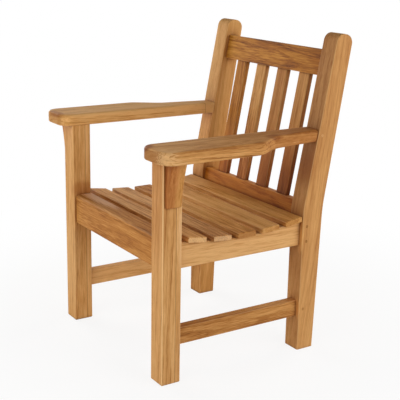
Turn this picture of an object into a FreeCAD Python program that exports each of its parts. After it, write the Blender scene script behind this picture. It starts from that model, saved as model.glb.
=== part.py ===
import FreeCAD, Part
import math
import os

from FreeCAD import Vector

# Sizes are in millimetres and angles in degrees. The chair faces -Y and +Z is up.
# Left and right are the sitter's, so the left side is at +X.
# Depths are laid out from the front face of the front legs, then the whole chair is moved
# so that its overall middle stands over the origin on the floor.

# Front legs
width_over_legs = 600.0
leg_square = 60.0
leg_height = 633.0
leg_edge_round = 4.0
foot_chamfer = 2.0
leg_top_tenon_square = 30.0
leg_top_tenon_height = 20.0

# Rear posts: upright below the bend, leaning back above it
leg_front_to_post_front = 472.5
post_width = 60.0
post_foot_depth = 58.0
post_bend_above_seat_low = 37.5
post_bend_depth = 72.0
post_top_depth = 58.0
post_length_above_bend = 511.0
back_rake = 10.7
post_front_bend_round = 150.0
post_rear_bend_round = 450.0
post_top_round = 25.0
post_edge_round = 4.0

# Seat rails and side stretchers
side_member_thickness = 29.0
side_member_inset = 16.0
side_rail_least_depth = 58.5
stretcher_bottom_height = 104.0
stretcher_height = 50.0
front_rail_inset = 9.0
front_rail_thickness = 53.0
front_rail_above_seat_low = 14.5
front_rail_nose_round = 9.0
rear_rail_setback = 12.0
rear_rail_thickness = 28.0
rear_rail_height = 54.0
rail_edge_round = 2.5

# Seat slats, laid on the dished tops of the side rails
seat_slat_count = 5
seat_slat_width = 60.0
seat_slat_thickness = 16.0
seat_slat_end_inset = 2.0
seat_slat_edge_round = 2.5
seat_front_gap = 20.0
seat_rear_gap = 0.5
seat_low_height = 400.5
seat_low_before_post_front = 202.0
seat_dish_radius = 1180.0

# Back: rails and upright slats, all leaning with the posts
back_rail_setback = 14.0
back_rail_thickness = 32.0
crest_bottom_above_bend = 384.0
crest_height = 76.0
lower_rail_above_rear_rail = 8.6
lower_rail_height = 59.0
back_slat_count = 4
back_slat_width = 48.0
back_slat_thickness = 16.0
back_slat_let_in = 12.0
back_edge_round = 2.5

# Arms: broad in front, sweeping in to a narrow rear end
arm_thickness = 35.0
arm_front_overhang = 35.0
arm_inner_overhang = 4.0
arm_outer_overhang = 67.0
arm_rear_inset = 7.0
arm_sweep_end_before_post_front = 119.5
arm_sweep_length = 81.0
arm_sweep_end_overhang = 16.5
arm_inner_corner_round = 36.0
arm_outer_corner_round = 40.0
arm_sweep_start_round = 62.0
arm_sweep_end_round = 80.0
arm_top_round = 8.0
arm_bottom_round = 5.0
arm_tenon_width = 34.0
arm_tenon_thickness = 18.0
arm_tenon_length = 30.0

# Brackets under the arms, on the outer faces of the front legs
bracket_height = 128.0
bracket_setback = 7.0
bracket_bottom_reach = 9.5
bracket_top_reach = 36.0
bracket_hollow = 4.8
bracket_edge_round = 3.0
bracket_bottom_round = 5.0

# Tenons, pins and dowels
side_tenon_thickness = 12.0
side_tenon_length = 30.0
side_rail_tenon_shoulder = 6.0
stretcher_tenon_shoulder = 8.0
cross_tenon_thickness = 14.0
wall_between_tenons = 3.5
cross_tenon_shoulder = 10.0
pin_diameter = 9.0
pin_past_tenon = 0.5
pin_behind_post_front = 15.0
pin_from_tenon_edge = 8.0
dowel_diameter = 8.0
dowel_in_frame = 14.0
slat_dowel_in_slat = 9.0
bracket_dowel_in_bracket = 8.0
bracket_dowel_heights_below_arm = (30.0, 78.0)

# Fits
tenon_side_gap = 0.15
tenon_end_gap = 1.0
dowel_side_gap = 0.05

# Sizes that follow from the ones above
half_width = width_over_legs / 2
leg_inner = half_width - leg_square
post_inner = half_width - post_width
side_outer = half_width - side_member_inset
side_inner = side_outer - side_member_thickness
side_middle = (side_outer + side_inner) / 2
side_tenon_inner = side_middle - side_tenon_thickness / 2
side_tenon_outer = side_middle + side_tenon_thickness / 2
cross_tenon_end = side_tenon_inner - wall_between_tenons
pin_length = half_width - side_tenon_inner + pin_past_tenon
post_front = leg_front_to_post_front
post_bend_height = seat_low_height + post_bend_above_seat_low
rail_bottom_height = seat_low_height - seat_slat_thickness - side_rail_least_depth
rear_rail_top_height = rail_bottom_height + rear_rail_height
front_rail_top_height = seat_low_height + front_rail_above_seat_low
seat_low_depth = post_front - seat_low_before_post_front
arm_sweep_end = post_front - arm_sweep_end_before_post_front
arm_sweep_start = arm_sweep_end - arm_sweep_length
arm_top_height = leg_height + arm_thickness
arm_front = -arm_front_overhang
arm_inner = leg_inner - arm_inner_overhang
arm_outer = half_width + arm_outer_overhang
rake_sine = math.sin(math.radians(back_rake))
rake_cosine = math.cos(math.radians(back_rake))
front_rail_rear = front_rail_inset + front_rail_thickness
slat_field_front = front_rail_rear + seat_front_gap
slat_field_rear = post_front - seat_rear_gap
hair = 0.01


def box_between(low, high):
    size = high - low
    return Part.makeBox(size.x, size.y, size.z, low)


def corner_arc(before, here, after, radius):
    to_before = (before - here).normalize()
    to_after = (after - here).normalize()
    half_angle = to_before.getAngle(to_after) / 2
    setback = radius / math.tan(half_angle)
    bulge = radius / math.sin(half_angle) - radius
    bisector = (to_before + to_after).normalize()
    return here + to_before * setback, here + bisector * bulge, here + to_after * setback


def rounded_slab(corners, place, sweep):
    edges = []
    arcs = []
    for index, (here, radius) in enumerate(corners):
        before = corners[index - 1][0]
        after = corners[(index + 1) % len(corners)][0]
        if radius > 0:
            arcs.append([place(point) for point in corner_arc(before, here, after, radius)])
        else:
            arcs.append([place(here)])
    for index, arc in enumerate(arcs):
        previous_end = arcs[index - 1][-1]
        edges.append(Part.LineSegment(previous_end, arc[0]).toShape())
        if len(arc) > 1:
            edges.append(Part.Arc(*arc).toShape())
    return Part.Face(Part.Wire(edges)).extrude(sweep)


def edges_running(shape, direction):
    chosen = []
    for edge in shape.Edges:
        run = edge.tangentAt(edge.FirstParameter)
        if abs(run.dot(direction)) > 1 - hair:
            chosen.append(edge)
    return chosen


def rounded_board(low, high, direction, radius):
    board = box_between(low, high)
    return board.makeFillet(radius, edges_running(board, direction))


def mirrored(shape):
    return shape.mirror(Vector(0, 0, 0), Vector(1, 0, 0))


def lean(shape):
    leaning = shape.copy()
    leaning.rotate(Vector(0, post_front, post_bend_height), Vector(1, 0, 0), -back_rake)
    return leaning


def post_front_at(height):
    return post_front + max(0.0, height - post_bend_height) * rake_sine / rake_cosine


# Side rail and stretcher tenons, one box each, on the left side of the chair

def front_side_tenon(bottom, top):
    low = Vector(side_tenon_inner, leg_square - side_tenon_length, bottom)
    return low, Vector(side_tenon_outer, leg_square, top)


def rear_side_tenon(bottom, top):
    low = Vector(side_tenon_inner, post_front, bottom)
    return low, Vector(side_tenon_outer, post_front + side_tenon_length, top)


def side_rail_tenon_span():
    end_top = slat_seat_points(slat_middle_depths()[0])[0].y
    return rail_bottom_height + side_rail_tenon_shoulder, end_top - side_rail_tenon_shoulder


def stretcher_tenon_span():
    bottom = stretcher_bottom_height + stretcher_tenon_shoulder
    return bottom, stretcher_bottom_height + stretcher_height - stretcher_tenon_shoulder


# Tenons of the rails that run across the chair, at their left ends

def cross_tenon(inner_face, middle_depth, bottom, top):
    low = Vector(inner_face, middle_depth - cross_tenon_thickness / 2, bottom + cross_tenon_shoulder)
    high = Vector(cross_tenon_end, middle_depth + cross_tenon_thickness / 2, top - cross_tenon_shoulder)
    return low, high


def front_rail_tenon():
    middle = front_rail_inset + front_rail_thickness / 2
    return cross_tenon(leg_inner, middle, rail_bottom_height, front_rail_top_height)


def rear_rail_tenon():
    middle = post_front + rear_rail_setback + rear_rail_thickness / 2
    return cross_tenon(post_inner, middle, rail_bottom_height, rear_rail_top_height)


def back_rail_middle():
    return post_front + back_rail_setback + back_rail_thickness / 2


def crest_span():
    bottom = post_bend_height + crest_bottom_above_bend
    return bottom, bottom + crest_height


def lower_rail_span():
    lowest_corner = rear_rail_top_height + lower_rail_above_rear_rail - post_bend_height
    rear_face_drop = (back_rail_setback + back_rail_thickness) * rake_sine
    bottom = post_bend_height + (lowest_corner + rear_face_drop) / rake_cosine
    return bottom, bottom + lower_rail_height


def arm_tenon():
    middle_height = leg_height + arm_thickness / 2
    middle = (arm_inner + half_width - arm_rear_inset) / 2
    low = Vector(middle - arm_tenon_width / 2, post_front, middle_height - arm_tenon_thickness / 2)
    high = Vector(middle + arm_tenon_width / 2, post_front_at(middle_height) + arm_tenon_length,
                  middle_height + arm_tenon_thickness / 2)
    return low, high


def leg_top_tenon():
    middle = Vector(half_width - leg_square / 2, leg_square / 2, leg_height)
    half = leg_top_tenon_square / 2
    return middle - Vector(half, half, 0), middle + Vector(half, half, leg_top_tenon_height)


def mortise(tenon, deep):
    low, high = tenon
    sides = Vector(tenon_side_gap, tenon_side_gap, tenon_side_gap)
    reach = Vector(abs(deep.x), abs(deep.y), abs(deep.z)) * tenon_end_gap
    return box_between(low - sides - reach, high + sides + reach)


# Seat slats

def dish_height(depth):
    return seat_low_height + (depth - seat_low_depth) ** 2 / (2 * seat_dish_radius)


def dish_tilt(depth):
    return math.atan((depth - seat_low_depth) / seat_dish_radius)


def slat_middle_depths():
    first = slat_field_front + seat_slat_width / 2
    steepest = dish_tilt(slat_field_rear)
    rear_reach = seat_slat_width * math.cos(steepest) / 2 + seat_slat_thickness * math.sin(steepest)
    last = slat_field_rear - rear_reach
    step = (last - first) / (seat_slat_count - 1)
    return [first + step * index for index in range(seat_slat_count)]


def on_slat(shape, depth):
    top = Vector(0, depth, dish_height(depth))
    placed = shape.copy()
    placed.rotate(Vector(0, 0, 0), Vector(1, 0, 0), math.degrees(dish_tilt(depth)))
    placed.translate(top)
    return placed


def slat_seat_points(depth):
    tilt = dish_tilt(depth)
    along = Vector(math.cos(tilt), math.sin(tilt), 0)
    up = Vector(-math.sin(tilt), math.cos(tilt), 0)
    underside = Vector(depth, dish_height(depth), 0) - up * seat_slat_thickness
    return underside - along * (seat_slat_width / 2), underside + along * (seat_slat_width / 2)


def slat_dowel(radius, below, above):
    under = -seat_slat_thickness
    return Part.makeCylinder(radius, below + above, Vector(side_middle, 0, under - below), Vector(0, 0, 1))


def slat_dowel_holes():
    radius = dowel_diameter / 2 + dowel_side_gap
    hole = slat_dowel(radius, dowel_in_frame + tenon_end_gap, slat_dowel_in_slat + tenon_end_gap)
    return [on_slat(hole, depth) for depth in slat_middle_depths()]


def make_seat_slat(depth):
    reach = half_width - seat_slat_end_inset
    board = box_between(Vector(-reach, -seat_slat_width / 2, -seat_slat_thickness),
                        Vector(reach, seat_slat_width / 2, 0))
    board = board.makeFillet(seat_slat_edge_round, board.Edges)
    slat = on_slat(board, depth)
    for hole in slat_dowel_holes():
        slat = slat.cut([hole, mirrored(hole)])
    return slat


def make_slat_dowels():
    dowel = slat_dowel(dowel_diameter / 2, dowel_in_frame, slat_dowel_in_slat)
    left = [on_slat(dowel, depth) for depth in slat_middle_depths()]
    return Part.makeCompound(left + [mirrored(one) for one in left])


# Front legs and arm brackets

def bracket_dowel(height_below_arm, radius, in_leg, in_bracket):
    start = Vector(half_width - in_leg, leg_square / 2, leg_height - height_below_arm)
    return Part.makeCylinder(radius, in_leg + in_bracket, start, Vector(1, 0, 0))


def bracket_dowel_holes():
    radius = dowel_diameter / 2 + dowel_side_gap
    in_leg = dowel_in_frame + tenon_end_gap
    in_bracket = bracket_dowel_in_bracket + tenon_end_gap
    return [bracket_dowel(below, radius, in_leg, in_bracket) for below in bracket_dowel_heights_below_arm]


def make_bracket_dowels():
    left = [bracket_dowel(below, dowel_diameter / 2, dowel_in_frame, bracket_dowel_in_bracket)
            for below in bracket_dowel_heights_below_arm]
    return Part.makeCompound(left + [mirrored(one) for one in left])


def make_front_leg():
    leg = rounded_board(Vector(leg_inner, 0, 0), Vector(half_width, leg_square, leg_height),
                        Vector(0, 0, 1), leg_edge_round)
    foot = [edge for edge in leg.Edges if edge.BoundBox.ZMax < hair]
    leg = leg.makeChamfer(foot_chamfer, foot)
    leg = leg.fuse(box_between(*leg_top_tenon()))
    leg = leg.cut(mortise(front_rail_tenon(), Vector(1, 0, 0)))
    leg = leg.cut(mortise(front_side_tenon(*side_rail_tenon_span()), Vector(0, 1, 0)))
    leg = leg.cut(mortise(front_side_tenon(*stretcher_tenon_span()), Vector(0, 1, 0)))
    return leg.cut(bracket_dowel_holes())


def make_bracket():
    bottom = leg_height - bracket_height
    front = bracket_setback
    foot = Vector(half_width + bracket_bottom_reach, front, bottom)
    head = Vector(half_width + bracket_top_reach, front, leg_height)
    hollow = (foot + head) / 2 - Vector(bracket_hollow, 0, 0)
    back_head = Vector(half_width, front, leg_height)
    back_foot = Vector(half_width, front, bottom)
    sides = [Part.Arc(foot, hollow, head).toShape(),
             Part.LineSegment(head, back_head).toShape(),
             Part.LineSegment(back_head, back_foot).toShape(),
             Part.LineSegment(back_foot, foot).toShape()]
    block = Part.Face(Part.Wire(sides)).extrude(Vector(0, leg_square - 2 * bracket_setback, 0))
    outer = [edge for edge in block.Edges if edge.BoundBox.XMin > half_width + hair
             and edge.BoundBox.ZLength > bracket_height / 2]
    block = block.makeFillet(bracket_edge_round, outer)
    bottom_outer = [edge for edge in block.Edges if edge.BoundBox.XMin > half_width + hair
                    and edge.BoundBox.ZMax < bottom + hair]
    block = block.makeFillet(bracket_bottom_round, bottom_outer)
    return block.cut(bracket_dowel_holes())


# Rear posts and their pins

def make_rear_post():
    lean_up = Vector(rake_sine, rake_cosine, 0)
    lean_back = Vector(rake_cosine, -rake_sine, 0)
    front_bend = Vector(post_front, post_bend_height, 0)
    front_top = front_bend + lean_up * post_length_above_bend
    corners = [(Vector(post_front, 0, 0), 0),
               (front_bend, post_front_bend_round),
               (front_top, post_top_round),
               (front_top + lean_back * post_top_depth, post_top_round),
               (front_bend + Vector(post_bend_depth, 0, 0), post_rear_bend_round),
               (Vector(post_front + post_foot_depth, 0, 0), 0)]
    post = rounded_slab(corners, lambda flat: Vector(post_inner, flat.x, flat.y), Vector(post_width, 0, 0))
    arrises = [edge for edge in post.Edges if edge.BoundBox.XLength < hair and edge.BoundBox.ZMax > hair]
    post = post.makeFillet(post_edge_round, arrises)
    post = post.cut(mortise(rear_side_tenon(*side_rail_tenon_span()), Vector(0, 1, 0)))
    post = post.cut(mortise(rear_side_tenon(*stretcher_tenon_span()), Vector(0, 1, 0)))
    post = post.cut(mortise(rear_rail_tenon(), Vector(1, 0, 0)))
    post = post.cut(mortise(arm_tenon(), Vector(0, 1, 0)))
    for span in (crest_span(), lower_rail_span()):
        post = post.cut(lean(mortise(cross_tenon(post_inner, back_rail_middle(), *span), Vector(1, 0, 0))))
    return post.cut(pin_holes())


def pin_places():
    rail_bottom, rail_top = side_rail_tenon_span()
    stretcher_bottom, stretcher_top = stretcher_tenon_span()
    heights = [rail_bottom + pin_from_tenon_edge, rail_top - pin_from_tenon_edge,
               (stretcher_bottom + stretcher_top) / 2, leg_height + arm_thickness / 2]
    return [Vector(half_width, post_front_at(height) + pin_behind_post_front, height) for height in heights]


def pin_holes():
    radius = pin_diameter / 2 + dowel_side_gap
    inward = Vector(-1, 0, 0)
    return [Part.makeCylinder(radius, pin_length + tenon_end_gap, place, inward) for place in pin_places()]


def make_pins():
    inward = Vector(-1, 0, 0)
    left = [Part.makeCylinder(pin_diameter / 2, pin_length, place, inward) for place in pin_places()]
    return Part.makeCompound(left + [mirrored(one) for one in left])


# Rails and stretchers

def make_side_rail():
    top = []
    for depth in slat_middle_depths():
        top.extend((point, 0) for point in slat_seat_points(depth))
    front_top = Vector(leg_square, top[0][0].y, 0)
    rear_top = Vector(post_front, top[-1][0].y, 0)
    corners = [(Vector(leg_square, rail_bottom_height, 0), 0), (front_top, 0)] + top
    corners += [(rear_top, 0), (Vector(post_front, rail_bottom_height, 0), 0)]
    rail = rounded_slab(corners, lambda flat: Vector(side_inner, flat.x, flat.y),
                        Vector(side_member_thickness, 0, 0))
    lower = [edge for edge in edges_running(rail, Vector(0, 1, 0))
             if edge.BoundBox.ZMax < rail_bottom_height + hair]
    rail = rail.makeFillet(rail_edge_round, lower)
    rail = rail.fuse([box_between(*front_side_tenon(*side_rail_tenon_span())),
                      box_between(*rear_side_tenon(*side_rail_tenon_span()))])
    return rail.cut(slat_dowel_holes() + pin_holes())


def make_stretcher():
    top = stretcher_bottom_height + stretcher_height
    bar = rounded_board(Vector(side_inner, leg_square, stretcher_bottom_height),
                        Vector(side_outer, post_front, top), Vector(0, 1, 0), rail_edge_round)
    bar = bar.fuse([box_between(*front_side_tenon(*stretcher_tenon_span())),
                    box_between(*rear_side_tenon(*stretcher_tenon_span()))])
    return bar.cut(pin_holes())


def with_end_tenons(rail, tenon):
    left = box_between(*tenon)
    return rail.fuse([left, mirrored(left)])


def make_front_rail():
    low = Vector(-leg_inner, front_rail_inset, rail_bottom_height)
    high = Vector(leg_inner, front_rail_rear, front_rail_top_height)
    rail = box_between(low, high)
    long_edges = edges_running(rail, Vector(1, 0, 0))
    nose = [edge for edge in long_edges if edge.BoundBox.YMax < low.y + hair
            and edge.BoundBox.ZMin > high.z - hair]
    rail = rail.makeFillet(front_rail_nose_round, nose)
    others = [edge for edge in edges_running(rail, Vector(1, 0, 0))
              if edge.BoundBox.YMin > high.y - hair or edge.BoundBox.ZMax < low.z + hair]
    rail = rail.makeFillet(rail_edge_round, others)
    return with_end_tenons(rail, front_rail_tenon())


def make_rear_rail():
    front = post_front + rear_rail_setback
    rail = rounded_board(Vector(-post_inner, front, rail_bottom_height),
                         Vector(post_inner, front + rear_rail_thickness, rear_rail_top_height),
                         Vector(1, 0, 0), rail_edge_round)
    return with_end_tenons(rail, rear_rail_tenon())


# Back

def back_slat_corners(middle):
    front = back_rail_middle() - back_slat_thickness / 2
    lower_top = lower_rail_span()[1]
    crest_bottom = crest_span()[0]
    half = back_slat_width / 2
    low = Vector(middle - half, front, lower_top - back_slat_let_in)
    high = Vector(middle + half, front + back_slat_thickness, crest_bottom + back_slat_let_in)
    return low, high


def back_slat_sockets(middle):
    low, high = back_slat_corners(middle)
    sides = Vector(tenon_side_gap, tenon_side_gap, 0)
    return box_between(low - sides, high + sides + Vector(0, 0, tenon_end_gap))


def back_slat_middles():
    gap = (2 * post_inner - back_slat_count * back_slat_width) / (back_slat_count + 1)
    first = -post_inner + gap + back_slat_width / 2
    return [first + (gap + back_slat_width) * index for index in range(back_slat_count)]


def make_back_slat(middle):
    low, high = back_slat_corners(middle)
    return lean(rounded_board(low, high, Vector(0, 0, 1), back_edge_round))


def make_back_rail(span):
    front = post_front + back_rail_setback
    rail = rounded_board(Vector(-post_inner, front, span[0]),
                         Vector(post_inner, front + back_rail_thickness, span[1]),
                         Vector(1, 0, 0), back_edge_round)
    rail = with_end_tenons(rail, cross_tenon(post_inner, back_rail_middle(), *span))
    return lean(rail.cut([back_slat_sockets(middle) for middle in back_slat_middles()]))


# Arms

def make_arm():
    rear = post_front + post_top_depth
    rear_outer = half_width - arm_rear_inset
    corners = [(Vector(arm_inner, rear, 0), 0),
               (Vector(arm_inner, arm_front, 0), arm_inner_corner_round),
               (Vector(arm_outer, arm_front, 0), arm_outer_corner_round),
               (Vector(arm_outer, arm_sweep_start, 0), arm_sweep_start_round),
               (Vector(half_width + arm_sweep_end_overhang, arm_sweep_end, 0), arm_sweep_end_round),
               (Vector(rear_outer, rear, 0), 0)]
    arm = rounded_slab(corners, lambda flat: Vector(flat.x, flat.y, leg_height), Vector(0, 0, arm_thickness))
    top = [edge for edge in arm.Edges if edge.BoundBox.ZMin > arm_top_height - hair
           and edge.BoundBox.YMin < rear - hair]
    arm = arm.makeFillet(arm_top_round, top)
    under = [edge for edge in arm.Edges if edge.BoundBox.ZMax < leg_height + hair
             and edge.BoundBox.YMin < rear - hair]
    arm = arm.makeFillet(arm_bottom_round, under)
    arm = arm.cut(behind_post_fronts())
    arm = arm.fuse(box_between(*arm_tenon()))
    arm = arm.cut(mortise(leg_top_tenon(), Vector(0, 0, 1)))
    return arm.cut(pin_holes())


def behind_post_fronts():
    low = Vector(-arm_outer, post_front, post_bend_height)
    high = Vector(arm_outer, post_front + leg_height, post_bend_height + leg_height)
    return lean(box_between(low, high))


def make_all():
    parts = {}
    for name, make in (("front_leg", make_front_leg), ("arm_bracket", make_bracket),
                       ("rear_post", make_rear_post), ("side_seat_rail", make_side_rail),
                       ("side_stretcher", make_stretcher), ("arm", make_arm)):
        left = make()
        parts[name + "_left"] = left
        parts[name + "_right"] = mirrored(left)
    parts["front_seat_rail"] = make_front_rail()
    parts["rear_seat_rail"] = make_rear_rail()
    parts["crest_rail"] = make_back_rail(crest_span())
    parts["lower_back_rail"] = make_back_rail(lower_rail_span())
    for number, depth in enumerate(slat_middle_depths(), 1):
        parts["seat_slat_" + str(number)] = make_seat_slat(depth)
    for number, middle in enumerate(back_slat_middles(), 1):
        parts["back_slat_" + str(number)] = make_back_slat(middle)
    parts["post_pins"] = make_pins()
    parts["seat_slat_dowels"] = make_slat_dowels()
    parts["bracket_dowels"] = make_bracket_dowels()
    return parts


def export(parts):
    os.makedirs("parts", exist_ok=True)
    post_rear = parts["rear_post_left"].optimalBoundingBox(False, False).YMax
    to_middle = Vector(0, -(arm_front + post_rear) / 2, 0)
    for name, shape in parts.items():
        placed = shape.copy()
        placed.translate(to_middle)
        placed.exportStep("parts/" + name + ".step")
        print(name, len(placed.Solids), round(placed.Volume), placed.isValid())


export(make_all())
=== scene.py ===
import bpy
import math
from mathutils import Matrix, Vector


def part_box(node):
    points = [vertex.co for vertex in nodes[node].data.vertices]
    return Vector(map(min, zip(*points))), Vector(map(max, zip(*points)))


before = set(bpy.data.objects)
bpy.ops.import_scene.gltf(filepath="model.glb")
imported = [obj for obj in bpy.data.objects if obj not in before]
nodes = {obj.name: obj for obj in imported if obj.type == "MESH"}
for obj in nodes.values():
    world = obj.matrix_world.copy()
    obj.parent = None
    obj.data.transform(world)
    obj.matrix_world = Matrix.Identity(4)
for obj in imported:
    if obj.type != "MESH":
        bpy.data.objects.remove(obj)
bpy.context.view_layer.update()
print("frame loaded:", len(nodes), "boards and fasteners")


def tint(red, green, blue):  # 0-255 screen colour to the linear colour a shader takes
    linear = []
    for value in (red, green, blue):
        part = value / 255
        linear.append(part / 12.92 if part <= 0.04045 else ((part + 0.055) / 1.055) ** 2.4)
    return (*linear, 1.0)


class Wire:  # one output socket, with the maths that a grain recipe needs
    def __init__(self, tree, socket):
        self.tree = tree
        self.socket = socket

    def math(self, operation, *others):
        return self.tree.node("ShaderNodeMath", {"operation": operation}, dict(enumerate((self,) + others)))

    def __add__(self, other):
        return self.math("ADD", other)

    def __sub__(self, other):
        return self.math("SUBTRACT", other)

    def __rsub__(self, other):
        return self.tree.node("ShaderNodeMath", {"operation": "SUBTRACT"}, {0: other, 1: self})

    def __mul__(self, other):
        return self.math("MULTIPLY", other)

    def __pow__(self, other):
        return self.math("POWER", other)

    def __gt__(self, other):
        return self.math("GREATER_THAN", other)

    __radd__ = __add__
    __rmul__ = __mul__

    def between(self, low, high):  # 0 below low, 1 above high, smooth in the middle
        return self.tree.node("ShaderNodeMapRange", {"interpolation_type": "SMOOTHSTEP"},
                              {"Value": self, "From Min": low, "From Max": high})


class Tree:  # the node tree of one material or of the world
    def __init__(self, tree):
        self.tree = tree
        tree.nodes.clear()

    def node(self, kind, settings=None, sockets=None, out=None):
        made = self.tree.nodes.new(kind)
        for key, value in (settings or {}).items():
            if key == "stops":
                self.fillRamp(made.color_ramp, value)
            else:
                setattr(made, key, value)
        shown = [socket for socket in made.inputs if socket.enabled]
        for key, value in (sockets or {}).items():
            target = shown[key] if isinstance(key, int) else next(s for s in shown if s.name == key)
            if isinstance(value, Wire):
                self.tree.links.new(value.socket, target)
            else:
                target.default_value = value
        given = [socket for socket in made.outputs if socket.enabled]
        if not given:
            return made
        return Wire(self, given[0] if out is None else next(s for s in given if s.name == out))

    def fillRamp(self, ramp, stops):
        while len(ramp.elements) < len(stops):
            ramp.elements.new(0.5)
        for element, (place, colour) in zip(ramp.elements, stops):
            element.position = place
            element.color = colour

    def vector(self, operation, *sources):
        return self.node("ShaderNodeVectorMath", {"operation": operation}, dict(enumerate(sources)))

    def noise(self, place, detail=2.0, roughness=0.5, out="Fac"):
        return self.node("ShaderNodeTexNoise", {"noise_dimensions": "3D"},
                         {"Vector": place, "Scale": 1.0, "Detail": detail, "Roughness": roughness}, out)

    def mix(self, share, first, second, blend="MIX"):
        return self.node("ShaderNodeMix", {"data_type": "RGBA", "blend_type": blend},
                         {"Factor": share, "A": first, "B": second})

    def parts(self, place):
        cut = self.node("ShaderNodeSeparateXYZ", sockets={"Vector": place}).socket.node
        return [Wire(self, socket) for socket in cut.outputs]


# the grain: lengths in metres, scales in repeats per metre, the way along the grain last
teakGrain = dict(
    wanderScale=(3.1, 3.1, 1.9), wander=(0.034, 0.034, 0),  # how the pith strays along the board
    bandScale=120, bandAlong=1.1, bandDetail=4.0, bandRoughness=0.58, bandShare=0.50,
    ringScale=85, ringBands=2.2, ringFlecks=0.7, veinRange=(0.30, 1.0), veinPower=2,
    poreScale=(1500, 1500, 45), poreDetail=1.0, poreRange=(0.64, 0.74), poreShare=0.30,
    layers={
        "streaks": dict(scale=(230, 230, 5.0), detail=3.0, roughness=0.6, share=0.56),
        "flecks": dict(scale=(300, 300, 22), detail=2.0, roughness=0.6, share=0.60),
        "fibre": dict(scale=(900, 900, 16), detail=2.0, roughness=0.6, share=0.28),
        "clouds": dict(scale=(16, 16, 2.2), detail=2.0, roughness=0.5, share=0.38),
        "broad": dict(scale=(60, 60, 3.2), detail=2.0, roughness=0.55, share=0.45)},
    middleTone=0.34)

# screen colours, and how far along from pale to dark each stands
teakColours = dict(
    pale=(222, 172, 112), honey=(200, 146, 84), brown=(166, 108, 52), dark=(108, 60, 24),
    ramp=((0.10, "pale"), (0.42, "honey"), (0.70, "brown"), (1.0, "dark")),
    silver=(190, 150, 112), heartAndShade=(206, 176, 146), endGrain=(196, 144, 84), wearAndHighlight=(240, 198, 142),
    dirtAndShade=(74, 38, 15), pore=(110, 66, 34),
    warm=(1.0, 0.88, 0.42, 1.0), paintedShadeTint=(0.66, 0.52, 0.40, 1.0))  # these two multiply the colour

# what weather and hands did to it, and the painted shade and painted highlights laid over it: reaches in
# metres, each range runs from none to full
teakWearAndShade = dict(
    paintedShadeReach=0.13, paintedShadeRange=(0.04, 0.5), paintedShadeRise=(0.03, 0.2), paintedShadeSamples=8,
    dirtAndShadeReach=0.016, dirtAndShadeRange=(0.2, 0.75), dirtAndShadeSamples=6,
    edgeRange=(0.45, 0.95), edgeLeast=0.30, edgeStreaks=0.7,
    patchRange=(0.45, 1.1), patchStreaks=0.7, patchMottle=0.5,
    endRange=(0.75, 0.95), faceRange=(0.6, 0.9), glueRange=(0.0003, 0.0010))

# shine, and how far streaks and fibre stand up and veins and pores sink in
teakFinish = dict(
    roughness=0.58, fibreRoughness=0.2, bandRoughness=0.12, endRoughness=0.14, gloss=0.1,
    bumpDepth=0.0002, bumpStrength=0.5, streakHeight=0.4, fibreHeight=0.5, veinDepth=0.15, poreDepth=0.5)


def splitStaves(tree, placed, local, staves):  # glued strips, each with its own stretch of grain
    along = tree.parts(placed)[1]
    tone, glue = 0.0, 0.0
    for stave in staves:
        past = along > stave["at"]
        spread = tree.node("ShaderNodeCombineXYZ", {}, {0: past, 1: past, 2: past})
        local = tree.vector("ADD", local, tree.vector("MULTIPLY", spread, stave["shift"]))
        tone = past * stave["tone"] + tone
        line = 1 - (along - stave["at"]).math("ABSOLUTE").between(*teakWearAndShade["glueRange"])
        glue = line * stave["glue"] + glue
    return local, tone, glue


def grainLayers(tree, local, board):  # every noise that the colour, the gloss and the bump share
    seeded = tree.vector("ADD", local, board["seed"])

    # growth rings round a pith that lies off the board and wanders along it
    wander = tree.noise(tree.vector("MULTIPLY", seeded, teakGrain["wanderScale"]), out="Color")
    wander = tree.vector("MULTIPLY", tree.vector("SUBTRACT", wander, (0.5, 0.5, 0.5)), teakGrain["wander"])
    fromPith = tree.vector("SUBTRACT", tree.vector("ADD", local, wander), (*board["pith"], 0))
    across, depth, along = tree.parts(fromPith)
    across = across + along * board["slope"]
    radius = (across * across + depth * depth) ** 0.5 + along * board["taper"]
    bandPlace = tree.node("ShaderNodeCombineXYZ", {}, {
        "X": radius * teakGrain["bandScale"], "Y": along * teakGrain["bandAlong"], "Z": board["seed"][0]})
    layers = {"bands": tree.noise(bandPlace, teakGrain["bandDetail"], teakGrain["bandRoughness"])}

    for name, layer in teakGrain["layers"].items():
        place = tree.vector("MULTIPLY", seeded, layer["scale"])
        layers[name] = tree.noise(place, layer["detail"], layer["roughness"])
    rings = (radius * teakGrain["ringScale"] + (layers["bands"] - 0.5) * teakGrain["ringBands"]
             + (layers["flecks"] - 0.5) * teakGrain["ringFlecks"])
    layers["veins"] = rings.math("FRACT").between(*teakGrain["veinRange"]) ** teakGrain["veinPower"]
    pores = tree.noise(tree.vector("MULTIPLY", seeded, teakGrain["poreScale"]), teakGrain["poreDetail"])
    layers["pores"] = pores.between(*teakGrain["poreRange"])
    return layers


def grainColour(tree, local, layers, staveTone, board):
    grain = (layers["bands"] - 0.5) * teakGrain["bandShare"]
    for name, layer in teakGrain["layers"].items():
        grain = grain + (layers[name] - 0.5) * layer["share"]
    shade = (grain * board["contrast"] + layers["veins"] * layers["clouds"] * board["figure"]
             + tree.parts(local)[2] * board["fade"] + staveTone + teakGrain["middleTone"] + board["tone"])
    stops = [(place, tint(*teakColours[name])) for place, name in teakColours["ramp"]]
    colour = tree.node("ShaderNodeValToRGB", {"stops": stops}, {"Fac": shade}, "Color")
    colour = tree.mix(layers["pores"] * teakGrain["poreShare"], colour, tint(*teakColours["pore"]))
    colour = tree.mix(board["warmth"], colour, teakColours["warm"], "MULTIPLY")
    return tree.mix(board["silver"], colour, tint(*teakColours["silver"]))


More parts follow.
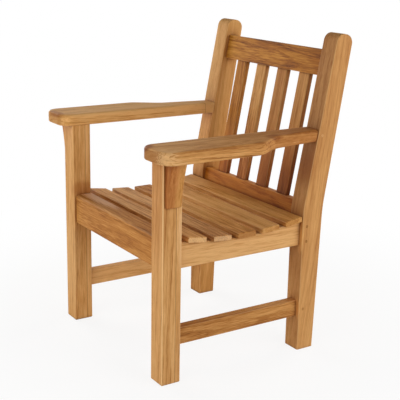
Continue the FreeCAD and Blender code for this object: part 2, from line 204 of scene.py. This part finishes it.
def addPatches(tree, colour, placed, layers, board):  # heartwood, sapwood, stains, painted shade and painted light in one place
    for patch in board["patches"]:
        fromMiddle = tree.vector("DIVIDE", tree.vector("SUBTRACT", placed, patch["at"]), patch["size"])
        edge = (tree.vector("LENGTH", fromMiddle) + (layers["streaks"] - 0.5) * teakWearAndShade["patchStreaks"]
                + (layers["flecks"] - 0.5) * patch.get("mottle", teakWearAndShade["patchMottle"]))
        inside = 1 - edge.between(*teakWearAndShade["patchRange"])
        if "pale" in patch:
            colour = tree.mix(inside * patch["share"], colour, tint(*patch["pale"]))
        else:
            stainAndShade = patch.get("stainAndShade", teakColours["heartAndShade"])
            colour = tree.mix(inside * patch["share"], colour, tint(*stainAndShade), "MULTIPLY")
    return colour


def boardWood(name, board):
    material = bpy.data.materials.new(name)
    material.use_nodes = True
    tree = Tree(material.node_tree)
    placed = tree.node("ShaderNodeTexCoord", out="Object")
    facing = tree.node("ShaderNodeTexCoord", out="Normal")
    low, high = (Vector(corner) for corner in board["box"])
    fromMiddle = tree.vector("SUBTRACT", placed, (low + high) / 2)
    local = tree.node("ShaderNodeMapping", {"vector_type": "POINT"},
                      {"Vector": fromMiddle, "Rotation": board["turn"]})
    staveTone, glueLine = 0.0, None
    if "staves" in board:
        local, staveTone, glueLine = splitStaves(tree, placed, local, board["staves"])
    layers = grainLayers(tree, local, board)
    colour = grainColour(tree, local, layers, staveTone, board)

    # painted shade: where nearby parts hide the wood from the light, ambient occlusion darkens and reddens it
    paintedShadeOcclusion = tree.node("ShaderNodeAmbientOcclusion", {"samples": teakWearAndShade["paintedShadeSamples"]},
                        {"Distance": teakWearAndShade["paintedShadeReach"]}, "AO")
    offFloor = tree.parts(placed)[2].between(*teakWearAndShade["paintedShadeRise"])
    paintedShade = (1 - paintedShadeOcclusion).between(*teakWearAndShade["paintedShadeRange"]) * offFloor
    colour = tree.mix(paintedShade * board["paintedShade"], colour, teakColours["paintedShadeTint"], "MULTIPLY")

    alongGrain = tree.vector("DOT_PRODUCT", facing, board["grain"]).math("ABSOLUTE")
    endGrain = alongGrain.between(*teakWearAndShade["endRange"])
    colour = tree.mix(endGrain * board["endShare"], colour, tint(*board["endColour"]))
    colour = addPatches(tree, colour, placed, layers, board)
    # painted shade: faces turned to either side are darkened
    if board["sawnEdge"]:
        side = tree.parts(facing)[0].math("ABSOLUTE").between(*teakWearAndShade["faceRange"])
        colour = tree.mix(side * board["sawnEdge"], colour, tint(*teakColours["dark"]))
    # painted shade: faces turned to the front are darkened
    if board["paintedFrontShade"]:
        front = (0 - tree.parts(facing)[1]).between(*teakWearAndShade["faceRange"])
        colour = tree.mix(front * board["paintedFrontShade"], colour, tint(*teakColours["heartAndShade"]), "MULTIPLY")

    # long edges are painted paler, partly rubbed wear and partly painted highlight; joints and narrow gaps
    # are darkened, partly dirt and partly painted shade
    squared = tree.node("ShaderNodeMapping", {"vector_type": "VECTOR"},
                        {"Vector": facing, "Rotation": board["turn"]})
    sideways, upward = tree.parts(squared)[:2]
    wearAndHighlight = (sideways * upward * 2).math("ABSOLUTE").between(*teakWearAndShade["edgeRange"])  # full at 45 degrees
    wearAndHighlight = wearAndHighlight * (teakWearAndShade["edgeLeast"] + layers["streaks"] * teakWearAndShade["edgeStreaks"])
    colour = tree.mix(wearAndHighlight * board["wearAndHighlight"], colour, tint(*teakColours["wearAndHighlight"]))
    # ambient occlusion darkens joints and narrow gaps: partly dirt, partly painted shade
    unoccluded = tree.node("ShaderNodeAmbientOcclusion", {"samples": teakWearAndShade["dirtAndShadeSamples"]},
                     {"Distance": teakWearAndShade["dirtAndShadeReach"]}, "AO")
    dirtAndShade = (1 - unoccluded).between(*teakWearAndShade["dirtAndShadeRange"])
    colour = tree.mix(dirtAndShade * board["dirtAndShadeShare"], colour, tint(*teakColours["dirtAndShade"]))
    if glueLine is not None:
        colour = tree.mix(glueLine, colour, tint(*teakColours["dirtAndShade"]))

    roughness = (teakFinish["roughness"] + (layers["fibre"] - 0.5) * teakFinish["fibreRoughness"]
                 + (layers["bands"] - 0.5) * teakFinish["bandRoughness"]
                 + endGrain * teakFinish["endRoughness"])
    height = (layers["streaks"] * teakFinish["streakHeight"] + layers["fibre"] * teakFinish["fibreHeight"]
              - layers["veins"] * teakFinish["veinDepth"] - layers["pores"] * teakFinish["poreDepth"])
    bump = tree.node("ShaderNodeBump", {}, {
        "Strength": teakFinish["bumpStrength"], "Distance": teakFinish["bumpDepth"], "Height": height})
    shader = tree.node("ShaderNodeBsdfPrincipled", {}, {
        "Base Color": colour, "Roughness": roughness, "Normal": bump,
        "Specular IOR Level": teakFinish["gloss"]})
    tree.node("ShaderNodeOutputMaterial", {}, {"Surface": shader})
    return material


# turn that lays a board's grain along its own third axis, and the way the grain runs
rake = math.radians(10.7)
grainTurns = {
    "X": ((0, -math.pi / 2, 0), (1, 0, 0)),
    "Y": ((math.pi / 2, 0, 0), (0, 1, 0)),
    "Z": ((0, 0, 0), (0, 0, 1)),
    "raked": ((rake, 0, 0), (0, math.sin(rake), math.cos(rake))),
    "halfRaked": ((rake / 2, 0, 0), (0, math.sin(rake / 2), math.cos(rake / 2)))}

plainBoard = dict(
    pith=(0.05, 0.10), taper=0.03, slope=0.0,  # where the rings' middle lies and how it leans
    contrast=1.0, figure=0.30,  # strength of the grain and of its dark veins
    tone=0.0, fade=0.0,  # how much darker, and how that changes per metre along the grain
    warmth=0.0, silver=0.0,  # redder, greyer
    # painted shade in hidden corners, dirt with painted shade in joints and gaps, wear with painted highlight
    # on long edges
    paintedShade=0.7, dirtAndShadeShare=0.85, wearAndHighlight=0.4,
    endColour=teakColours["endGrain"], endShare=0.35, sawnEdge=0.0, paintedFrontShade=0.0,
    patches=())
seedSteps = (1.7, 2.3, 3.1)


def dress(node, seed, grain, **own):
    turn, direction = grainTurns[grain]
    board = dict(plainBoard, box=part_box(node), turn=turn, grain=direction)
    board["seed"] = tuple(seed * step for step in seedSteps)
    board.update(own)
    piece = nodes[node]
    piece.data.materials.clear()
    piece.data.materials.append(boardWood(node + "_teak", board))


# faces that the patches are measured from
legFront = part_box("front_leg_left")[0].y
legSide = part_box("front_leg_left")[1].x
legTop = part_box("arm_bracket_left")[1].z

# front legs, each glued up from two strips
legStrips = [dict(at=legFront + 0.042, shift=(0.11, 0.07, 0.4), tone=-0.06, glue=0.6)]
frontLegs = {
    "front_leg_left": dict(
        seed=1, tone=-0.05, silver=0.06, figure=0.35, wearAndHighlight=1.3, dirtAndShadeShare=0.25, paintedShade=0.4,
        patches=[
            dict(at=(legSide - 0.03, legFront, 0.58), size=(0.08, 0.022, 0.27), share=0.5),
            dict(at=(legSide, legFront + 0.064, 0.43), size=(0.02, 0.016, 0.10), share=0.55,
                 mottle=3.0, pale=(222, 180, 136)),
            dict(at=(legSide, legFront + 0.066, 0.12), size=(0.03, 0.022, 0.26), share=0.4)]),
    "front_leg_right": dict(
        seed=2, tone=-0.02,
        # partly dirt and partly painted shade above the joint with the seat rail, painted light low on the
        # front face
        patches=[
            dict(at=(-legSide + 0.06, legFront + 0.03, 0.432), size=(0.03, 0.05, 0.03), share=0.6),
            dict(at=(-legSide + 0.03, legFront, 0.20), size=(0.08, 0.02, 0.18), share=0.2,
                 pale=(232, 190, 136))])}
for node, leg in frontLegs.items():
    dress(node, grain="Z", pith=(0.13, 0.14), staves=legStrips, **leg)

# rear posts, the near one with painted shade on its front face beside and below the arm, and painted light
# beside the rail and the stretcher
rearPosts = {
    "rear_post_left": dict(
        seed=3, tone=0.13, fade=0.22, silver=0.11, figure=0.15, paintedFrontShade=0.2, dirtAndShadeShare=0.3, contrast=0.8,
        patches=[
            dict(at=(legSide - 0.03, legFront + 0.482, 0.58), size=(0.08, 0.03, 0.09), share=0.9),
            dict(at=(legSide - 0.03, legFront + 0.482, 0.33), size=(0.08, 0.03, 0.14), share=0.3),
            dict(at=(legSide, legFront + 0.467, 0.355), size=(0.026, 0.01, 0.07), share=0.9,
                 pale=(240, 182, 108)),
            dict(at=(legSide, legFront + 0.467, 0.13), size=(0.026, 0.01, 0.05), share=0.8,
                 pale=(236, 172, 98))]),
    "rear_post_right": dict(
        seed=4, tone=0.05, warmth=0.15, fade=-0.3, contrast=0.75, figure=0.15,
        patches=[
            dict(at=(-legSide + 0.066, legFront + 0.53, 0.62), size=(0.022, 0.2, 0.4), share=0.15)])}
for node, post in rearPosts.items():
    dress(node, grain="halfRaked", pith=(0.12, 0.06), **post)
print("wood on the legs and posts")

# brackets under the arms, the near one darker and redder in front, partly its wood and partly painted shade
# from the arm above
brackets = {
    "arm_bracket_left": dict(
        seed=5, tone=0.15, warmth=0.2, figure=0.1, wearAndHighlight=0.0, dirtAndShadeShare=0.2,
        patches=[
            dict(at=(legSide, legFront + 0.010, legTop - 0.07), size=(0.2, 0.030, 0.20), share=1.0,
                 stainAndShade=(231, 209, 204))]),
    "arm_bracket_right": dict(seed=6, tone=0.20, warmth=0.2, figure=0.1, wearAndHighlight=0.0)}
for node, bracket in brackets.items():
    dress(node, grain="Z", pith=(0.03, 0.09), **bracket)

# arms: the near one has painted shade behind, where the rear post hides it, and is mottled at its front end;
# the far one is paler over its rear end, past a dark line
armEndColour = (146, 96, 50)
arms = {
    "arm_left": dict(
        seed=7, tone=0.13, fade=0.52, figure=0.5, wearAndHighlight=0.0, endShare=0.75,
        patches=[
            dict(at=(legSide - 0.02, legFront + 0.43, legTop), size=(0.09, 0.16, 0.05), share=0.7),
            dict(at=(legSide - 0.02, legFront + 0.26, legTop), size=(0.09, 0.10, 0.05), share=0.5),
            dict(at=(legSide + 0.016, legFront + 0.345, legTop + 0.035), size=(0.03, 0.035, 0.02), share=0.8),
            dict(at=(legSide - 0.045, legFront - 0.03, legTop + 0.034), size=(0.035, 0.028, 0.016),
                 share=1.0, stainAndShade=(184, 150, 124)),
            dict(at=(legSide - 0.056, legFront - 0.035, legTop + 0.012), size=(0.03, 0.02, 0.03),
                 share=0.6, mottle=2.0),
            dict(at=(legSide + 0.05, legFront - 0.02, legTop + 0.015), size=(0.026, 0.035, 0.03),
                 share=0.6, mottle=3.0, pale=(226, 182, 128))]),
    "arm_right": dict(
        seed=8, tone=-0.21, fade=-0.55, warmth=0.15, figure=0.4, contrast=1.4, wearAndHighlight=0.1,
        staves=[dict(at=legFront + 0.479, shift=(0.07, 0.05, 0.3), tone=-0.16, glue=0.5)],
        patches=[
            dict(at=(-legSide + 0.01, legFront - 0.03, legTop + 0.033), size=(0.05, 0.02, 0.014),
                 share=0.8)])}
for node, arm in arms.items():
    dress(node, grain="Y", pith=(0.03, 0.11), endColour=armEndColour, **arm)
print("wood on the arms and brackets")

# side seat rails and stretchers
sideRails = {
    "side_seat_rail_left": dict(
        seed=9, tone=-0.22, fade=0.10, silver=0.1, contrast=1.3, dirtAndShadeShare=0.25, paintedShade=0.4),
    "side_seat_rail_right": dict(seed=10)}
for node, rail in sideRails.items():
    dress(node, grain="Y", pith=(0.07, 0.05), **rail)
stretchers = {
    "side_stretcher_left": dict(seed=11, tone=0.18, fade=-0.3, figure=0.4, dirtAndShadeShare=0.25),
    "side_stretcher_right": dict(seed=12, tone=-0.21)}
for node, stretcher in stretchers.items():
    dress(node, grain="Y", pith=(0.05, 0.015), **stretcher)

# rails across the chair, the two of the back in deep brown
crossRails = {
    "front_seat_rail": dict(
        seed=13, pith=(0.03, 0.10), tone=0.26, slope=0.08, contrast=0.9, warmth=0.35,
        dirtAndShadeShare=0.05, paintedShade=0.05, wearAndHighlight=0.15,
        # painted light on the top at the far end, under the far arm
        patches=[
            dict(at=(-legSide + 0.12, legFront + 0.055, 0.416), size=(0.16, 0.03, 0.014), share=0.75,
                 pale=(232, 186, 146))]),
    "rear_seat_rail": dict(seed=14, pith=(0.05, 0.08), tone=0.15),
    "crest_rail": dict(
        seed=15, pith=(0.03, 0.07), tone=0.29, fade=0.65, taper=0.04, figure=0.55, warmth=1.0,
        contrast=1.2, dirtAndShadeShare=0.4),
    "lower_back_rail": dict(
        seed=16, pith=(0.04, 0.10), tone=-0.06, figure=0.4, warmth=1.0, contrast=1.5, dirtAndShadeShare=0.5,
        patches=[
            dict(at=(0, legFront + 0.472, 0.44), size=(0.8, 0.056, 0.3), share=1.0, stainAndShade=(229, 202, 166)),
            # painted shade along the foot, above the seat
            dict(at=(0.05, legFront + 0.475, 0.396), size=(0.24, 0.06, 0.03), share=0.5)])}
for node, rail in crossRails.items():
    dress(node, grain="X", **rail)
print("wood on the rails and stretchers")

# seat slats, counted from the front, each cut from another part of the log
paleEnd, deepEnd = (232, 192, 144), (160, 108, 60)
plainSlat = dict(dirtAndShadeShare=0.08, paintedShade=0.35, contrast=1.6)
seatSlats = {
    "seat_slat_1": dict(
        seed=21, pith=(0.06, -0.06), tone=0.10, fade=0.25, warmth=0.08, endColour=paleEnd, endShare=0.42),
    "seat_slat_2": dict(
        seed=22, pith=(0.08, -0.03), tone=0.12, contrast=2.2, fade=0.4, silver=0.15, endColour=paleEnd,
        endShare=0.42),
    "seat_slat_3": dict(
        seed=23, pith=(0.10, 0.0), tone=0.13, contrast=1.3, warmth=0.25, endColour=deepEnd, endShare=0.7),
    "seat_slat_4": dict(
        seed=24, pith=(0.12, 0.03), contrast=1.2, fade=0.15, warmth=0.2, endColour=deepEnd),
    "seat_slat_5": dict(
        seed=25, pith=(0.14, 0.06), tone=0.02, contrast=1.2, fade=0.2, warmth=0.35, paintedShade=0.8,
        endColour=deepEnd,
        # painted light at the far end, painted shade along the rear edge below the back rail
        patches=[
            dict(at=(-legSide + 0.04, legFront + 0.44, 0.415), size=(0.13, 0.05, 0.04), share=0.5,
                 pale=(222, 172, 112)),
            dict(at=(-0.06, legFront + 0.475, 0.412), size=(0.2, 0.04, 0.03), share=0.5)])}
for node, slat in seatSlats.items():
    dress(node, grain="X", **dict(plainSlat, **slat))

# back slats, from the chair's right to its left, with painted shade at the foot and on their side edges
backSlats = {
    "back_slat_1": dict(seed=31, pith=(-0.02, 0.06), tone=0.25, fade=-0.2, warmth=0.7),
    "back_slat_2": dict(seed=32, pith=(0.0, 0.06), tone=0.14, fade=-0.6, warmth=0.1, contrast=1.5),
    "back_slat_3": dict(seed=33, pith=(0.02, 0.06), tone=0.28, fade=-0.4, contrast=0.6, figure=0.15),
    "back_slat_4": dict(seed=34, pith=(0.04, 0.06), tone=0.27, fade=-1.0, contrast=0.7, figure=0.15)}
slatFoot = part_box("back_slat_1")[0]
footShade = dict(size=(0.06, 0.08, 0.22), share=0.7, stainAndShade=(232, 192, 136))
for node, slat in backSlats.items():
    middle = (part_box(node)[0].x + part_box(node)[1].x) / 2
    foot = dict(footShade, at=(middle, slatFoot.y, slatFoot.z))
    dress(node, grain="raked", sawnEdge=0.35, patches=[foot], **slat)
print("wood on the slats")

# pins through the posts, paler at the arms and the stretchers than at the seat rails, and hidden dowels
fasteners = {
    "post_pins": dict(
        seed=41, tone=0.62,
        patches=[
            dict(at=(0, legFront + 0.5, legTop + 0.02), size=(1.0, 0.3, 0.08), share=0.75,
                 pale=(206, 158, 102)),
            dict(at=(0, legFront + 0.5, 0.13), size=(1.0, 0.3, 0.08), share=0.7, pale=(176, 124, 72))]),
    "seat_slat_dowels": dict(seed=42, tone=0.2),
    "bracket_dowels": dict(seed=43, tone=0.2)}
for node, fastener in fasteners.items():
    dress(node, grain="X", pith=(0.01, 0.01), **fastener)
print("wood on the pins and dowels")


def seenDirectly(tree):  # 1 for what the eye, a gloss or glass looks at, 0 for light that bounces
    camera, glossy, through = (tree.node("ShaderNodeLightPath", out="Is %s Ray" % ray)
                               for ray in ("Camera", "Glossy", "Transmission"))
    return camera.math("MAXIMUM", glossy).math("MAXIMUM", through)


# pale floor: plain for the light it sends back, near white to the eye, with the chair's soft shadow
studioFloor = dict(size=14.0, drop=0.0004, pale=0.82, glow=0.08, shadowShare=0.16, shadowFade=(0.5, 1.5))
white = (1, 1, 1, 1)


def makeFloor():
    half = studioFloor["size"] / 2
    z = -studioFloor["drop"]
    corners = [(-half, -half, z), (half, -half, z), (half, half, z), (-half, half, z)]
    mesh = bpy.data.meshes.new("studio_floor")
    mesh.from_pydata(corners, [], [(0, 1, 2, 3)])
    floor = bpy.data.objects.new("studio_floor", mesh)
    bpy.context.collection.objects.link(floor)
    material = bpy.data.materials.new("pale_floor")
    material.use_nodes = True
    tree = Tree(material.node_tree)
    plain = tree.node("ShaderNodeBsdfDiffuse", {}, {"Color": (studioFloor["pale"],) * 3 + (1.0,)})
    lit = tree.node("ShaderNodeEmission", {}, {"Color": white, "Strength": studioFloor["glow"]})
    shaded = tree.node("ShaderNodeAddShader", {}, {0: plain, 1: lit})
    bright = tree.node("ShaderNodeEmission", {}, {"Color": white, "Strength": 1.0})
    away = tree.vector("LENGTH", tree.node("ShaderNodeTexCoord", out="Object"))
    shadow = (1 - away.between(*studioFloor["shadowFade"])) * studioFloor["shadowShare"]
    surface = tree.node("ShaderNodeMixShader", {},
                        {"Fac": seenDirectly(tree) * (1 - shadow), 1: shaded, 2: bright})
    tree.node("ShaderNodeOutputMaterial", {}, {"Surface": surface})
    mesh.materials.append(material)


warmWhite = (1.0, 0.99, 0.97)
studioLight = dict(
    fill=0.03, aim=(0, 0, 0.45),
    lamps={
        "left": dict(azimuth=-77, elevation=14, distance=2.2, size=1.7, power=32, colour=warmWhite),
        "front": dict(azimuth=30, elevation=30, distance=2.0, size=1.2, power=9, colour=warmWhite),
        "low": dict(azimuth=2, elevation=0, distance=1.6, size=0.8, power=8, colour=warmWhite),
        "right": dict(azimuth=105, elevation=15, distance=2.4, size=1.4, power=23, colour=warmWhite),
        "rear": dict(azimuth=135, elevation=15, distance=2.4, size=1.2, power=12, colour=warmWhite),
        "back": dict(azimuth=188, elevation=24, distance=2.6, size=1.6, power=24, colour=warmWhite),
        "top": dict(azimuth=57, elevation=86, distance=2.4, size=1.8, power=3.5, colour=white[:3])})


def makeWorld():
    world = bpy.data.worlds.new("white_studio")
    world.use_nodes = True
    bpy.context.scene.world = world
    tree = Tree(world.node_tree)
    strength = seenDirectly(tree) * (1 - studioLight["fill"]) + studioLight["fill"]
    glow = tree.node("ShaderNodeBackground", {}, {"Color": white, "Strength": strength})
    tree.node("ShaderNodeOutputWorld", {}, {"Surface": glow})


def directionTo(azimuth, elevation):  # from the chair to the eye: 0 looks along +Y, 90 along -X
    turn, rise = math.radians(azimuth), math.radians(elevation)
    return Vector((math.sin(turn) * math.cos(rise), -math.cos(turn) * math.cos(rise), math.sin(rise)))


def makeLamps():
    for name, lamp in studioLight["lamps"].items():
        light = bpy.data.lights.new("lamp_" + name, "AREA")
        light.shape = "DISK"
        light.size = lamp["size"]
        light.energy = lamp["power"]
        light.color = lamp["colour"]
        back = directionTo(lamp["azimuth"], lamp["elevation"])
        holder = bpy.data.objects.new("lamp_" + name, light)
        holder.location = Vector(studioLight["aim"]) + back * lamp["distance"]
        holder.rotation_euler = back.to_track_quat("Z", "Y").to_euler()
        bpy.context.collection.objects.link(holder)


# where the photograph was taken from: angles in degrees, lens and sensor in millimetres
photoCamera = dict(azimuth=56.88, elevation=15.35, roll=1.11, distance=2.8083, lens=83.2, sensor=36,
                   farClip=50, aim=(0, legFront + 0.2656, 0.4), slide=(0.0378, 0.02197))


def makeCamera():
    back = directionTo(photoCamera["azimuth"], photoCamera["elevation"])
    level = Vector((0, 0, 1)).cross(back).normalized()
    rise = back.cross(level)
    lean = math.radians(photoCamera["roll"])
    right = level * math.cos(lean) + rise * math.sin(lean)
    up = rise * math.cos(lean) - level * math.sin(lean)
    across, above = photoCamera["slide"]
    spot = Vector(photoCamera["aim"]) + right * across + up * above + back * photoCamera["distance"]
    lens = bpy.data.cameras.new("photo_camera")
    lens.lens = photoCamera["lens"]
    lens.sensor_width = photoCamera["sensor"]
    lens.clip_end = photoCamera["farClip"]
    camera = bpy.data.objects.new("photo_camera", lens)
    camera.matrix_world = Matrix.Translation(spot) @ Matrix((right, up, back)).transposed().to_4x4()
    bpy.context.collection.objects.link(camera)
    bpy.context.scene.camera = camera


makeFloor()
makeWorld()
makeLamps()
makeCamera()
bpy.context.scene.view_settings.view_transform = "Standard"
print("floor, light and camera set")
